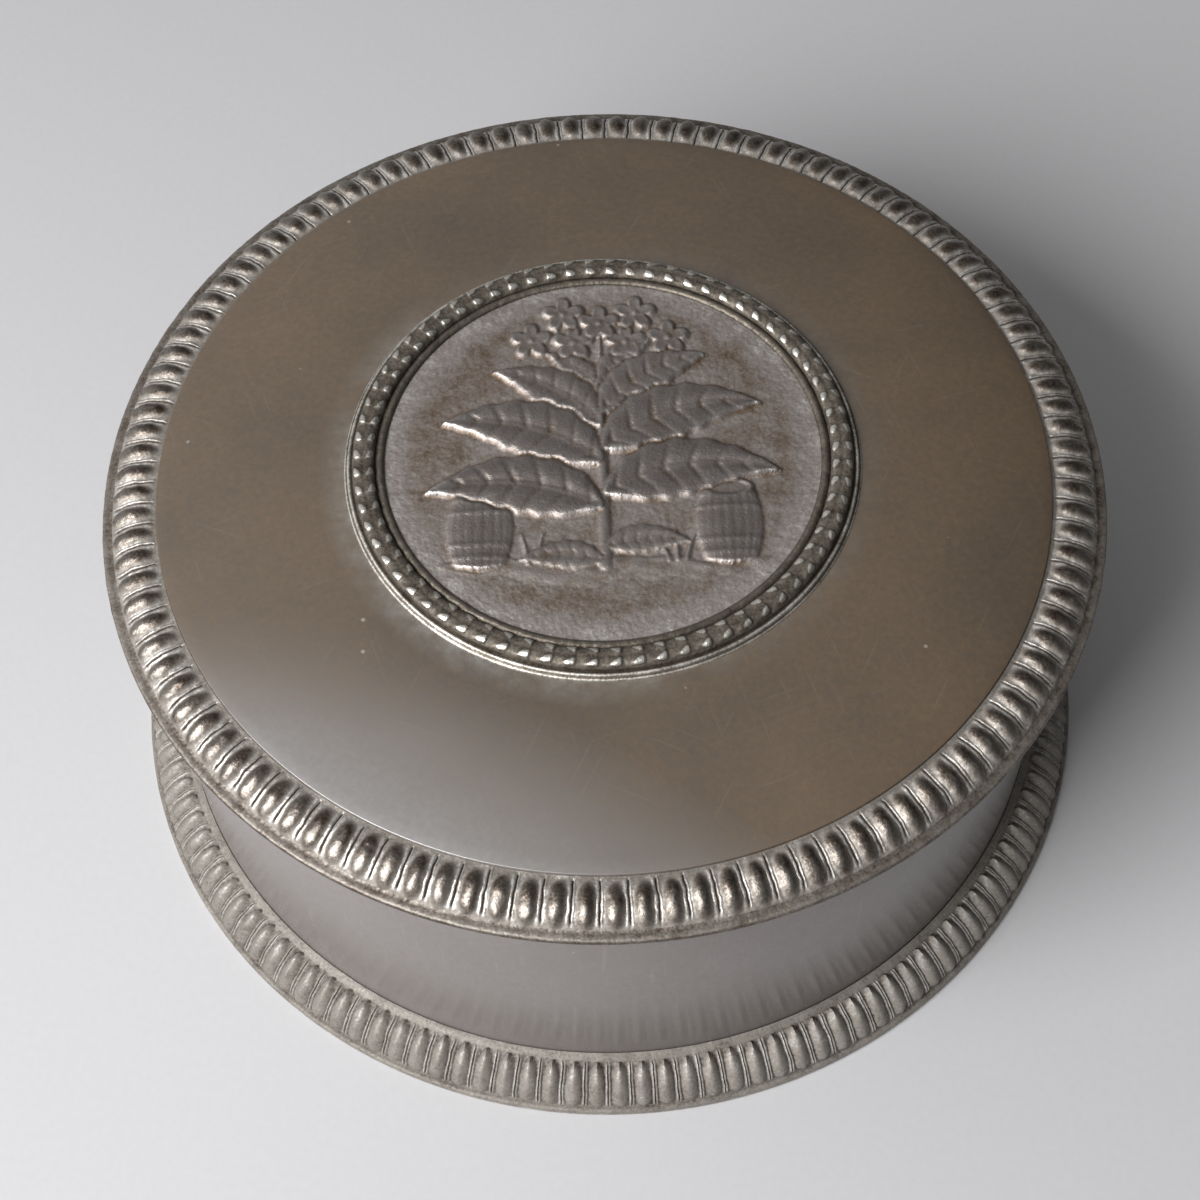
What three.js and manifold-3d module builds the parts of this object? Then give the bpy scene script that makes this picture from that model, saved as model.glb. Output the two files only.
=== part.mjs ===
// Round pewter tobacco box: a plain drum on a moulded foot, a lift-off lid with a moulded rim and
// a relief medallion, and a loose press plate inside. Millimetres, +Z up, origin on the table
// under the middle of the box, front towards -Y.

import * as THREE from "three";
import { mergeVertices } from "three/addons/utils/BufferGeometryUtils.js";
import Module from "manifold-3d";

const wasm = await Module();
wasm.setup();

// Drum
const DRUM_RADIUS = 66.2;
const DRUM_WALL = 1.5;
const MOUTH_HEIGHT = 53.4; // table to the drum's mouth, where the lid rests

// Foot
const FOOT_WIDTH = 7; // reach beyond the drum
const FOOT_HEIGHT = 6.8; // top of the foot beside the drum
const FOOT_EDGE = 1.2; // upright outer edge
const FOOT_LIP = 0.8; // plain margin outside the tongues
const FOOT_BAND = 1.1; // plain band between tongues and drum
const FOOT_BAND_DROP = 0.7; // fall of that band
const FOOT_LEDGE_HEIGHT = 3; // ledge that carries the drum and the floor
const FOOT_LEDGE = 1.5; // reach of that ledge inside the drum
const FOOT_TONGUES = 134;
const FOOT_BULGE = 0.9; // rise of the moulding's curve over its chord

// Floor
const FLOOR_THICKNESS = 1.5;

// Lid rim
const LID_OVERHANG = 3.8; // reach of the rim beyond the drum
const RIM_WIDTH = 7.85; // rim, from its outer edge to the lid plate
const RIM_HEIGHT = 3.1; // rim beside the lid plate
const RIM_EDGE = 1.1; // upright outer edge
const RIM_LIP = 1.4; // plain margin outside the tongues
const RIM_TONGUES = 114;
const RIM_BULGE = 0.8;
const TONGUE_RELIEF = 0.8; // crest of a tongue over the groove beside it

// Lid plate
const PLATE_THICKNESS = 1.2;
const PLATE_STEP = 0.5; // plate's edge above the rim
const PLATE_LEDGE = 1.5; // ledge in the rim that carries the plate
const DOME_RISE = 2.4; // medallion seat above the plate's edge
const SEAT_MARGIN = 0.8; // flat seat beyond the medallion

// Lid collar
const COLLAR_DEPTH = 8;
const COLLAR_WALL = 1.2;
const COLLAR_CLEARANCE = 0.35; // to the inside of the drum

// Medallion
const MEDALLION_RADIUS = 35.7;
const BORDER_EDGE = 0.9; // upright outer edge of the border
const BORDER_FILLET = 1.4; // plain margin outside the leaves
const GARLAND_WIDTH = 3.3;
const GARLAND_RISE = 1.1; // crest of the garland over the border's edge
const BORDER_BAND = 1; // plain band inside the leaves
const BAND_THICKNESS = 0.3;
const BORDER_LEAVES = 70;
const LEAF_RELIEF = 0.3;
const PLAQUE_THICKNESS = 0.8;
const PLAQUE_LAP = 0.7; // plaque's edge caught under the border's band
const RELIEF_HEIGHT = 0.8;
const RELIEF_ROOT = 0.4; // depth to which the relief is rooted in the plaque
const RELIEF_MARGIN = 1.4; // bare ground between the relief and the border

// Press plate and knob
const PRESS_CLEARANCE = 1; // to the inside of the drum
const PRESS_THICKNESS = 1.6;
const PRESS_BEAD = 1.5; // half-round bead round the edge
const BOSS_RADIUS = 9;
const BOSS_HEIGHT = 1;
const KNOB_HEIGHT = 12;
const KNOB_RADIUS = 7.5;
const KNOB_NECK = 2.8;
const KNOB_FOOT = 4.8;
const RIVET_RADIUS = 2.2;
const RIVET_HEAD = 3.4;
const RIVET_HEAD_HEIGHT = 0.6;

// Clearances
const SOLDER_GAP = 0.15; // between soldered walls
const UNDER_GAP = 0.1; // between the plaque and the band over it

const SEGMENTS = 64;
const KNOB_SEGMENTS = 28;

// Sizes that follow from the ones above
const drumBore = DRUM_RADIUS - DRUM_WALL;
const footRadius = DRUM_RADIUS + FOOT_WIDTH;
const footBore = drumBore - FOOT_LEDGE;
const floorTop = FOOT_LEDGE_HEIGHT + FLOOR_THICKNESS;
const rimRadius = DRUM_RADIUS + LID_OVERHANG;
const rimSocket = rimRadius - RIM_WIDTH;
const plateRadius = rimSocket - SOLDER_GAP;
const collarRadius = drumBore - COLLAR_CLEARANCE;
const collarBore = collarRadius - COLLAR_WALL;
const rimBore = Math.min(plateRadius - PLATE_LEDGE, collarBore);
const plateEdgeTop = MOUTH_HEIGHT + RIM_HEIGHT + PLATE_STEP;
const plateLedge = plateEdgeTop - PLATE_THICKNESS;
const medallionSeat = plateEdgeTop + DOME_RISE;
const garlandOuter = MEDALLION_RADIUS - BORDER_FILLET;
const garlandInner = garlandOuter - GARLAND_WIDTH;
const borderOpening = garlandInner - BORDER_BAND;
const plaqueRadius = borderOpening + PLAQUE_LAP;
const plaqueTop = medallionSeat + PLAQUE_THICKNESS;
const reliefReach = borderOpening - RELIEF_MARGIN;
const pressRadius = drumBore - PRESS_CLEARANCE;
const pressTop = floorTop + PRESS_THICKNESS;
const bossTop = pressTop + BOSS_HEIGHT;
const rivetBottom = floorTop + UNDER_GAP;
const rivetHeadTop = rivetBottom + RIVET_HEAD_HEIGHT;

// A solid turned about Z from a profile of [radius, height] points, listed anticlockwise in the
// radius-height plane.
function turned(profile, segments) {
  const points = profile.map(([radius, height]) => new THREE.Vector2(radius, height));
  return new THREE.LatheGeometry(points, segments).rotateX(Math.PI / 2);
}

// A turned solid whose profile closes on itself away from the axis.
function turnedRing(profile, segments) {
  return turned([...profile, profile[0]], segments);
}

// A ring made of equal repeats. Each loop runs round the ring and lists its stations in one repeat
// as [share of the repeat, radius, height]; the loops follow each other round the ring's section.
function patternedRing(repeats, loops) {
  const positions = [];
  const starts = [];
  for (const stations of loops) {
    starts.push(positions.length / 3);
    for (let repeat = 0; repeat < repeats; repeat++) {
      for (const [share, radius, height] of stations) {
        const angle = (2 * Math.PI * (repeat + share)) / repeats;
        positions.push(radius * Math.cos(angle), radius * Math.sin(angle), height);
      }
    }
  }
  const vertex = (loop, step) => starts[loop] + (step % (repeats * loops[loop].length));
  const shareAt = (stations, step) => {
    const count = stations.length;
    return Math.floor(step / count) + stations[step % count][0];
  };
  const edgeMiddle = (stations, step) => (shareAt(stations, step) + shareAt(stations, step + 1)) / 2;
  const triangles = [];
  loops.forEach((stations, loop) => {
    const next = (loop + 1) % loops.length;
    const lastStep = repeats * stations.length;
    const lastNext = repeats * loops[next].length;
    let step = 0;
    let nextStep = 0;
    while (step < lastStep || nextStep < lastNext) {
      const here = step < lastStep ? edgeMiddle(stations, step) : Infinity;
      const there = nextStep < lastNext ? edgeMiddle(loops[next], nextStep) : Infinity;
      if (here <= there) {
        triangles.push(vertex(loop, step), vertex(loop, step + 1), vertex(next, nextStep));
        step++;
      } else {
        triangles.push(vertex(loop, step), vertex(next, nextStep + 1), vertex(next, nextStep));
        nextStep++;
      }
    }
  });
  const geometry = new THREE.BufferGeometry();
  geometry.setAttribute("position", new THREE.Float32BufferAttribute(positions, 3));
  geometry.setIndex(triangles);
  return geometry;
}

// A loop with the same radius and height all round.
function plainLoop([radius, height]) {
  return [[0, radius, height]];
}

// Two loops over a row of tongues that lies on an arched curve from its outer to its inner end.
// Each tongue is highest along its middle, with a groove to either side: the rises list the share
// of the repeat and the height over the curve in units of the tongues' relief.
function tongueLoops(outer, inner, bulge) {
  const start = new THREE.Vector2(...outer);
  const end = new THREE.Vector2(...inner);
  const across = end.clone().sub(start).normalize();
  const outward = new THREE.Vector2(across.y, -across.x);
  const control = start.clone().lerp(end, 0.5).addScaledVector(outward, 2 * bulge);
  const arch = new THREE.QuadraticBezierCurve(start, control, end);
  const rises = [[0, -0.4], [0.28, 0.25], [0.5, 0.6], [0.72, 0.25]];
  const places = [0.24, 0.74];
  return places.map((place) => {
    const middle = arch.getPoint(place);
    return rises.map(([share, rise]) => {
      const point = middle.clone().addScaledVector(outward, rise * TONGUE_RELIEF);
      return [share, point.x, point.y];
    });
  });
}

function footRim() {
  const lipTop = [footRadius - FOOT_LIP, FOOT_EDGE];
  const band = [DRUM_RADIUS + SOLDER_GAP + FOOT_BAND, FOOT_HEIGHT - FOOT_BAND_DROP];
  const loops = [
    plainLoop([footBore, 0]),
    plainLoop([footRadius, 0]),
    plainLoop([footRadius, FOOT_EDGE]),
    plainLoop(lipTop),
    ...tongueLoops(lipTop, band, FOOT_BULGE),
    plainLoop(band),
    plainLoop([DRUM_RADIUS + SOLDER_GAP, FOOT_HEIGHT]),
    plainLoop([DRUM_RADIUS + SOLDER_GAP, FOOT_LEDGE_HEIGHT]),
    plainLoop([footBore, FOOT_LEDGE_HEIGHT]),
  ];
  return patternedRing(FOOT_TONGUES, loops);
}

function drumWall() {
  const profile = [
    [drumBore, FOOT_LEDGE_HEIGHT],
    [DRUM_RADIUS, FOOT_LEDGE_HEIGHT],
    [DRUM_RADIUS, MOUTH_HEIGHT],
    [drumBore, MOUTH_HEIGHT],
  ];
  return turnedRing(profile, SEGMENTS);
}

function floorPlate() {
  const radius = drumBore - SOLDER_GAP;
  const profile = [[0, FOOT_LEDGE_HEIGHT], [radius, FOOT_LEDGE_HEIGHT], [radius, floorTop], [0, floorTop]];
  return turned(profile, SEGMENTS);
}

function lidRim() {
  const lipTop = [rimRadius - RIM_LIP, MOUTH_HEIGHT + RIM_EDGE];
  const socketTop = [rimSocket, MOUTH_HEIGHT + RIM_HEIGHT];
  const loops = [
    plainLoop([rimBore, MOUTH_HEIGHT]),
    plainLoop([rimRadius, MOUTH_HEIGHT]),
    plainLoop([rimRadius, MOUTH_HEIGHT + RIM_EDGE]),
    plainLoop(lipTop),
    ...tongueLoops(lipTop, socketTop, RIM_BULGE),
    plainLoop(socketTop),
    plainLoop([rimSocket, plateLedge]),
    plainLoop([rimBore, plateLedge]),
  ];
  return patternedRing(RIM_TONGUES, loops);
}

function lidPlate() {
  const seatRadius = MEDALLION_RADIUS + SEAT_MARGIN;
  const steps = 4;
  const dome = [];
  for (let step = 0; step <= steps; step++) {
    const share = step / steps;
    dome.push([THREE.MathUtils.lerp(plateRadius, seatRadius, share), DOME_RISE * share * (2 - share)]);
  }
  const top = dome.map(([radius, rise]) => [radius, plateEdgeTop + rise]);
  const underside = dome.map(([radius, rise]) => [radius, plateLedge + rise]).reverse();
  const crownBottom = [0, plateLedge + DOME_RISE];
  return turned([crownBottom, ...underside, ...top, [0, medallionSeat]], SEGMENTS);
}

function lidCollar() {
  const bottom = MOUTH_HEIGHT - COLLAR_DEPTH;
  const profile = [
    [collarBore, bottom],
    [collarRadius, bottom],
    [collarRadius, MOUTH_HEIGHT],
    [collarBore, MOUTH_HEIGHT],
  ];
  return turnedRing(profile, SEGMENTS);
}

// Leaves on the garland: the middle row leads the outer ones, so that each leaf points round the
// ring. A row is its place across the garland, its share of the rise, and its lead in the repeat.
function garlandLoops(outerFoot, innerFoot) {
  const rows = [[0.85, 0.55, 0.1], [0.5, 1, 0.5], [0.15, 0.55, 0.1]];
  return rows.map(([place, arch, lead]) => {
    const radius = THREE.MathUtils.lerp(garlandInner, garlandOuter, place);
    const crest = THREE.MathUtils.lerp(innerFoot, outerFoot, place) + GARLAND_RISE * arch;
    return [[lead, radius, crest - LEAF_RELIEF], [lead + 0.4, radius, crest]];
  });
}

function medallionBorder() {
  const edgeTop = medallionSeat + BORDER_EDGE;
  const bandUnder = plaqueTop + UNDER_GAP;
  const bandTop = bandUnder + BAND_THICKNESS;
  const socket = plaqueRadius + SOLDER_GAP;
  const loops = [
    plainLoop([socket, medallionSeat]),
    plainLoop([MEDALLION_RADIUS, medallionSeat]),
    plainLoop([MEDALLION_RADIUS, edgeTop]),
    plainLoop([garlandOuter, edgeTop]),
    ...garlandLoops(edgeTop, bandTop),
    plainLoop([garlandInner, bandTop]),
    plainLoop([borderOpening, bandTop]),
    plainLoop([borderOpening, bandUnder]),
    plainLoop([socket, bandUnder]),
  ];
  return patternedRing(BORDER_LEAVES, loops);
}

// Points along an arc that leaves a place at a heading and turns by an angle, in degrees, with
// lengths in units of the relief's reach.
function arcPath([x, y], heading, length, turn, steps) {
  const points = [new THREE.Vector2(x, y).multiplyScalar(reliefReach)];
  const stride = (length * reliefReach) / steps;
  for (let step = 0; step < steps; step++) {
    const angle = THREE.MathUtils.degToRad(heading + (turn * (step + 0.5)) / steps);
    const move = new THREE.Vector2(Math.cos(angle), Math.sin(angle)).multiplyScalar(stride);
    points.push(points[step].clone().add(move));
  }
  return points;
}

// A raised strip along a path, pointed at both ends, with a crest along its middle and its keel
// sunk in the plaque. Its half width, in units of the relief's reach, follows the share of the path.
function ridge(path, halfWidth, height) {
  const last = path.length - 1;
  const sunk = plaqueTop - RELIEF_ROOT / 2;
  const positions = [path[0].x, path[0].y, sunk];
  for (let index = 1; index < last; index++) {
    const { x, y } = path[index];
    const along = path[index + 1].clone().sub(path[index - 1]).normalize();
    const half = halfWidth(index / last) * reliefReach;
    positions.push(x - along.y * half, y + along.x * half, sunk);
    positions.push(x, y, plaqueTop - RELIEF_ROOT);
    positions.push(x + along.y * half, y - along.x * half, sunk);
    positions.push(x, y, plaqueTop + height);
  }
  positions.push(path[last].x, path[last].y, sunk);
  const sides = 4;
  const endTip = 1 + sides * (last - 1);
  const triangles = [];
  for (let side = 0; side < sides; side++) {
    const next = (side + 1) % sides;
    triangles.push(0, 1 + side, 1 + next);
    for (let section = 1; section < endTip - sides; section += sides) {
      const ahead = section + sides;
      triangles.push(section + side, ahead + side, ahead + next);
      triangles.push(section + side, ahead + next, section + next);
    }
    triangles.push(endTip - sides + side, endTip, endTip - sides + next);
  }
  const geometry = new THREE.BufferGeometry();
  geometry.setAttribute("position", new THREE.Float32BufferAttribute(positions, 3));
  geometry.setIndex(triangles);
  return geometry;
}

// A closed geometry as a solid that can be joined to others, and back again.
function solidOf(geometry) {
  geometry.deleteAttribute("normal");
  geometry.deleteAttribute("uv");
  const merged = mergeVertices(geometry, 1e-4);
  const vertProperties = new Float32Array(merged.attributes.position.array);
  const corners = merged.index.array;
  const triVerts = [];
  for (let corner = 0; corner < corners.length; corner += 3) {
    const [a, b, c] = corners.slice(corner, corner + 3);
    if (a !== b && b !== c && c !== a) triVerts.push(a, b, c);
  }
  const mesh = { numProp: 3, vertProperties, triVerts: new Uint32Array(triVerts) };
  return new wasm.Manifold(new wasm.Mesh(mesh));
}

function geometryOf(solid) {
  const mesh = solid.getMesh();
  const geometry = new THREE.BufferGeometry();
  geometry.setAttribute("position", new THREE.Float32BufferAttribute(mesh.vertProperties, 3));
  geometry.setIndex([...mesh.triVerts]);
  return geometry;
}

// A leaf that is widest before its middle and comes to a long point.
function leaf(root, heading, length, turn, halfWidth) {
  const steps = 7;
  const outline = (share) => halfWidth * Math.sin(Math.PI * Math.pow(share, 0.75));
  return ridge(arcPath(root, heading, length, turn, steps), outline, RELIEF_HEIGHT);
}

// A narrow strip of even width, for the stem and the ground.
function strip(root, heading, length, turn, halfWidth) {
  const steps = 4;
  return ridge(arcPath(root, heading, length, turn, steps), () => halfWidth, RELIEF_HEIGHT / 2);
}

// An open flower with five petals.
function flower([x, y]) {
  const petals = 5;
  const petalLength = 0.1;
  const petalHalfWidth = 0.04;
  return Array.from({ length: petals }, (_, petal) => {
    const heading = 90 + (360 * petal) / petals;
    const path = arcPath([x, y], heading, petalLength, 0, 3);
    return ridge(path, () => petalHalfWidth, RELIEF_HEIGHT / 2);
  });
}

// A standing cask, a little wider at its middle, with blunt ends.
function cask([x, y]) {
  const steps = 8;
  const height = 0.4;
  const halfWidth = 0.16;
  const path = arcPath([x, y], 90, height, 0, steps);
  path[1].lerp(path[0], 0.8);
  path[steps - 1].lerp(path[steps], 0.8);
  const outline = (share) => halfWidth * (0.78 + 0.22 * Math.sin(Math.PI * share));
  return ridge(path, outline, RELIEF_HEIGHT);
}

// A tobacco plant in flower between two casks, on a strip of ground. The leaves stand in pairs, the
// left one of each pair a little lower than the right one. A pair lists its place on the stem, the
// heading, length and turn of its right leaf, and its half width.
function plantScene() {
  const pairs = [
    [-0.54, 22, 0.42, 40, 0.085],
    [-0.24, 34, 0.9, 54, 0.175],
    [0.02, 46, 0.86, 56, 0.175],
    [0.24, 58, 0.66, 50, 0.135],
    [0.42, 66, 0.4, 40, 0.085],
  ];
  const leftDrop = 0.08;
  const ground = strip([-0.76, -0.66], 0, 1.52, 0, 0.05);
  const stem = strip([0, -0.64], 90, 1.4, 0, 0.03);
  const pieces = [ground, stem, ...flower([0, 0.8])];
  for (const side of [1, -1]) {
    const mirrored = (degrees) => (side > 0 ? degrees : 180 - degrees);
    const drop = side > 0 ? 0 : leftDrop;
    for (const [base, heading, length, turn, halfWidth] of pairs) {
      pieces.push(leaf([0, base - drop], mirrored(heading), length, -turn * side, halfWidth));
    }
    pieces.push(cask([0.59 * side, -0.62]), strip([0, 0.42], mirrored(58), 0.4, 0, 0.02));
    for (const [x, y] of [[0.34, 0.7], [0.13, 0.68], [0.18, 0.86]]) {
      pieces.push(...flower([x * side, y]));
    }
  }
  return pieces;
}

function medallionPlaque() {
  const profile = [
    [0, medallionSeat],
    [plaqueRadius, medallionSeat],
    [plaqueRadius, plaqueTop],
    [0, plaqueTop],
  ];
  const disc = solidOf(turned(profile, SEGMENTS / 2));
  return geometryOf(plantScene().reduce((joined, piece) => joined.add(solidOf(piece)), disc));
}

function pressPlate() {
  const headBore = RIVET_HEAD + SOLDER_GAP;
  const rivetBore = RIVET_RADIUS + SOLDER_GAP;
  const beadSteps = 4;
  const bead = [];
  for (let step = 0; step <= beadSteps; step++) {
    const angle = (Math.PI * step) / beadSteps;
    const radius = pressRadius - PRESS_BEAD * (1 - Math.cos(angle));
    bead.push([radius, pressTop + PRESS_BEAD * Math.sin(angle)]);
  }
  const profile = [
    [headBore, floorTop],
    [pressRadius, floorTop],
    ...bead,
    [BOSS_RADIUS, pressTop],
    [BOSS_RADIUS - BOSS_HEIGHT, bossTop],
    [rivetBore, bossTop],
    [rivetBore, rivetHeadTop],
    [headBore, rivetHeadTop],
  ];
  return turnedRing(profile, SEGMENTS);
}

// Knob with a foot, a waisted neck and an oval crown, and a rivet headed over under the plate.
function pressKnob() {
  const crownHalf = KNOB_HEIGHT / 3;
  const crownMiddle = bossTop + KNOB_HEIGHT - crownHalf;
  const crownSteps = 8;
  const crownStart = -Math.PI / 3;
  const crown = [];
  for (let step = 0; step < crownSteps; step++) {
    const angle = THREE.MathUtils.lerp(crownStart, Math.PI / 2, step / crownSteps);
    crown.push([KNOB_RADIUS * Math.cos(angle), crownMiddle + crownHalf * Math.sin(angle)]);
  }
  const neckHeight = (bossTop + crown[0][1]) / 2;
  const profile = [
    [0, rivetBottom],
    [RIVET_HEAD, rivetBottom],
    [RIVET_HEAD, rivetHeadTop],
    [RIVET_RADIUS, rivetHeadTop],
    [RIVET_RADIUS, bossTop],
    [KNOB_FOOT, bossTop],
    [KNOB_NECK, neckHeight],
    ...crown,
    [0, bossTop + KNOB_HEIGHT],
  ];
  return turned(profile, KNOB_SEGMENTS);
}

const AGED_PEWTER = { color: 0x7b7066, roughness: 0.42, metalness: 0.9 };
const CAST_PEWTER = { color: 0x8d8780, roughness: 0.48, metalness: 0.9 };
const INNER_PEWTER = { color: 0xa7a39c, roughness: 0.38, metalness: 0.9 };

const group = new THREE.Group();

function addPiece(name, geometry, finish) {
  const mesh = new THREE.Mesh(geometry, new THREE.MeshStandardMaterial(finish));
  mesh.name = name;
  group.add(mesh);
}

addPiece("foot_rim", footRim(), CAST_PEWTER);
addPiece("drum_wall", drumWall(), AGED_PEWTER);
addPiece("floor_plate", floorPlate(), INNER_PEWTER);
addPiece("lid_plate", lidPlate(), AGED_PEWTER);
addPiece("lid_rim", lidRim(), CAST_PEWTER);
addPiece("lid_collar", lidCollar(), INNER_PEWTER);
addPiece("medallion_border", medallionBorder(), CAST_PEWTER);
addPiece("medallion_plaque", medallionPlaque(), CAST_PEWTER);
addPiece("press_plate", pressPlate(), INNER_PEWTER);
addPiece("press_knob", pressKnob(), INNER_PEWTER);

export default group;
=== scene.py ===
import math

import bpy
import numpy as np
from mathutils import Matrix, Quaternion, Vector


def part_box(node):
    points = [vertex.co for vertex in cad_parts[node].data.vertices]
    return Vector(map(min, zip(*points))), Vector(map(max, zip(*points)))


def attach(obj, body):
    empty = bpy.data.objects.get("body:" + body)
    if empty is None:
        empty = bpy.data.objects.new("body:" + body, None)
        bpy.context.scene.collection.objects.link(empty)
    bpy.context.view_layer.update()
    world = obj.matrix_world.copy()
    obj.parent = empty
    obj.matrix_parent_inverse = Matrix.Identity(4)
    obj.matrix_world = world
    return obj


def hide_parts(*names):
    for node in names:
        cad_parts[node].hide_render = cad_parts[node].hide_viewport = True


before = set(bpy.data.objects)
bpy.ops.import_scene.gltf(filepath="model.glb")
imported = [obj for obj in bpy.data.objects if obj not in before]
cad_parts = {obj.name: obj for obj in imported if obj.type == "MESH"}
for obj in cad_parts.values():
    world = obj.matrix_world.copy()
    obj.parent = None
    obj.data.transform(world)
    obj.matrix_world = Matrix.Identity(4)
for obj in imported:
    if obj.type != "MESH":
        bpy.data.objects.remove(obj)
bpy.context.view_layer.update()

# Foot rim: a cast pewter ring that the drum stands in, soldered round it. Its outside falls to the
# table as a row of blunt tongues with paired ridges between them, below a plain band.
MM = 0.001
FULL_TURN = 2 * math.pi
FOOT_TONGUES = 134
FOOT_EDGE = 1.2 * MM  # upright outer edge
FOOT_LIP = 0.8 * MM  # plain margin outside the tongues
FOOT_BAND = 1.25 * MM  # plain band beside the drum
FOOT_BAND_DROP = 0.7 * MM
FOOT_BULGE = 0.9 * MM  # rise of the moulding over its chord
FOOT_LEDGE = 1.35 * MM  # ledge under the floor plate
FOOT_RELIEF = 0.92 * MM  # crest of a tongue over the moulding
FOOT_SOLDER = 0.04 * MM  # film of solder between the foot and the drum
FOOT_SKIN = 0.3 * MM  # unevenness of the casting's skin
FOOT_GRAIN = 1.8 * MM  # size of that unevenness along the skin
SKIN_ROOM = 0.06 * MM  # room kept at the edges for the casting's uneven skin
MERGE = 0.002 * MM  # points closer than this become one
CAST_SMOOTH = 50  # castings are shaded smooth below this angle, in degrees
CALMER = 0.3  # share of the skin's unevenness that the smoother parts of a casting have
PLAIN_RUBBED = 0.5  # how far the plain bands of a casting are rubbed smooth
# Points across half a repeat, closest in the groove, and up the moulding
HALF_STATIONS = (0, 0.022, 0.05, 0.075, 0.105, 0.14, 0.18, 0.23, 0.3, 0.4, 0.5)
TONGUE_PLACES = np.concatenate(((0.015, 0.035), np.linspace(0.06, 0.97, 19)))
TONGUE_HALF = 0.355  # half a foot tongue's width, as a share of its repeat
FOOT_POLISH = 0.25  # how far its crests are rubbed, from 0 to 1
FOOT_OXIDE = 0.8  # share of its metal that dull oxide hides
FOOT_PITS = 0.08 * MM  # depth of the fine pitting
FOOT_RECESS = (0.06, 0.047, 0.037, 1)
FOOT_BODY = (0.25, 0.228, 0.202, 1)
FOOT_CREST = (0.56, 0.54, 0.51, 1)


def chain(name, points):
    """Starts a piece as a chain of points of radius and height, each extruded from the one before."""
    bpy.ops.object.select_all(action="DESELECT")
    radius, height = points[0]
    bpy.ops.mesh.primitive_plane_add(size=MM, location=(radius, 0, height))
    bpy.ops.object.transform_apply(location=True)
    piece = bpy.context.object
    piece.name = name
    bpy.ops.object.mode_set(mode="EDIT")
    bpy.ops.mesh.merge(type="CENTER")
    for (radius, height), (next_radius, next_height) in zip(points, points[1:]):
        step = (next_radius - radius, 0, next_height - height)
        bpy.ops.mesh.extrude_region_move(TRANSFORM_OT_translate={"value": step})
    return piece


def spin(steps, angle, copies=False):
    """Spins what the piece in edit mode holds about the box's axis."""
    bpy.ops.mesh.select_all(action="SELECT")
    bpy.ops.mesh.spin(steps=steps, angle=angle, dupli=copies, center=(0, 0, 0), axis=(0, 0, 1))


def close_mesh(piece, smooth_angle):
    """Merges the seams, turns the faces outwards and smooths the piece below an angle in degrees."""
    bpy.ops.mesh.select_all(action="SELECT")
    bpy.ops.mesh.remove_doubles(threshold=MERGE)
    bpy.ops.mesh.normals_make_consistent(inside=False)
    bpy.ops.object.mode_set(mode="OBJECT")
    bpy.ops.object.shade_smooth_by_angle(angle=math.radians(smooth_angle))
    return piece


def arch_rows(outer, inner, bulge, places):
    """Points on an arched curve from an outer to an inner point, with its outward normal at each."""
    outer, inner = np.array(outer), np.array(inner)
    across = (inner - outer) / np.linalg.norm(inner - outer)
    middle = (outer + inner) / 2 + np.array((across[1], -across[0])) * 2 * bulge
    share = np.array(places)[:, None]
    points = (1 - share) ** 2 * outer + 2 * share * (1 - share) * middle + share**2 * inner
    along = 2 * (1 - share) * (middle - outer) + 2 * share * (inner - middle)
    along = along / np.linalg.norm(along, axis=1)[:, None]
    return points, np.stack((along[:, 1], -along[:, 0]), 1)


def read_points(piece):
    points = np.empty(len(piece.data.vertices) * 3)
    piece.data.vertices.foreach_get("co", points)
    return points.reshape(-1, 3)


def write_points(piece, points):
    piece.data.vertices.foreach_set("co", np.ascontiguousarray(points, np.float32).ravel())
    piece.data.update()


def write_wear_and_shade(piece, tone, rubbed):
    """Keeps the wear of each point of a casting: its tone, from 0 in a recess dark with dirt to 1 on
    bare metal, which in places also carries painted shade and painted highlights, and how far
    handling has rubbed it smooth, from 0 to 1."""
    for name, values in (("tone", tone), ("rubbed", rubbed)):
        attribute = piece.data.attributes.new(name, "FLOAT", "POINT")
        attribute.data.foreach_set("value", values.astype(np.float32))


def patterned_ring(name, rows, repeats, stations, pattern, polish=1.0):
    """A cast ring: one repeat of its pattern is spun, raised by the pattern's formula and copied
    round the axis. A row holds its radius, height, outward normal, place and, if plain, its tone."""
    repeat = FULL_TURN / repeats
    profile, normals, places, plain_tone = rows[:, :2], rows[:, 2:4], rows[:, 4], rows[:, 5]
    piece = chain(name, [tuple(point) for point in profile] + [tuple(profile[0])])
    spin(len(stations) - 1, repeat)
    bpy.ops.mesh.remove_doubles(threshold=MERGE)
    bpy.ops.object.mode_set(mode="OBJECT")
    points = read_points(piece)
    radius = np.hypot(points[:, 0], points[:, 1])
    offsets = np.stack((radius[:, None] - profile[:, 0], points[:, 2:] - profile[:, 1]), 2)
    row = np.argmin((offsets**2).sum(2), 1)
    turn = np.abs(np.arctan2(points[:, 1], points[:, 0])) / repeat
    share = np.interp(turn, np.linspace(0, 1, len(stations)), stations)
    rise, tone = pattern(share, places[row])
    plain = plain_tone[row] >= 0
    section = profile[row] + normals[row] * np.where(plain, 0, rise)[:, None]
    angle = share * repeat
    raised = (section[:, 0] * np.cos(angle), section[:, 0] * np.sin(angle), section[:, 1])
    write_points(piece, np.stack(raised, 1))
    crest = np.clip(np.maximum(rise / rise.max(), ease(tone, 0.6, 1)), 0, 1)
    rubbed = polish * np.where(plain, PLAIN_RUBBED, crest)
    write_wear_and_shade(piece, np.where(plain, plain_tone[row], tone), rubbed)
    bpy.ops.object.mode_set(mode="EDIT")
    spin(repeats - 1, repeat * (repeats - 1), copies=True)
    return close_mesh(piece, CAST_SMOOTH)


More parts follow.
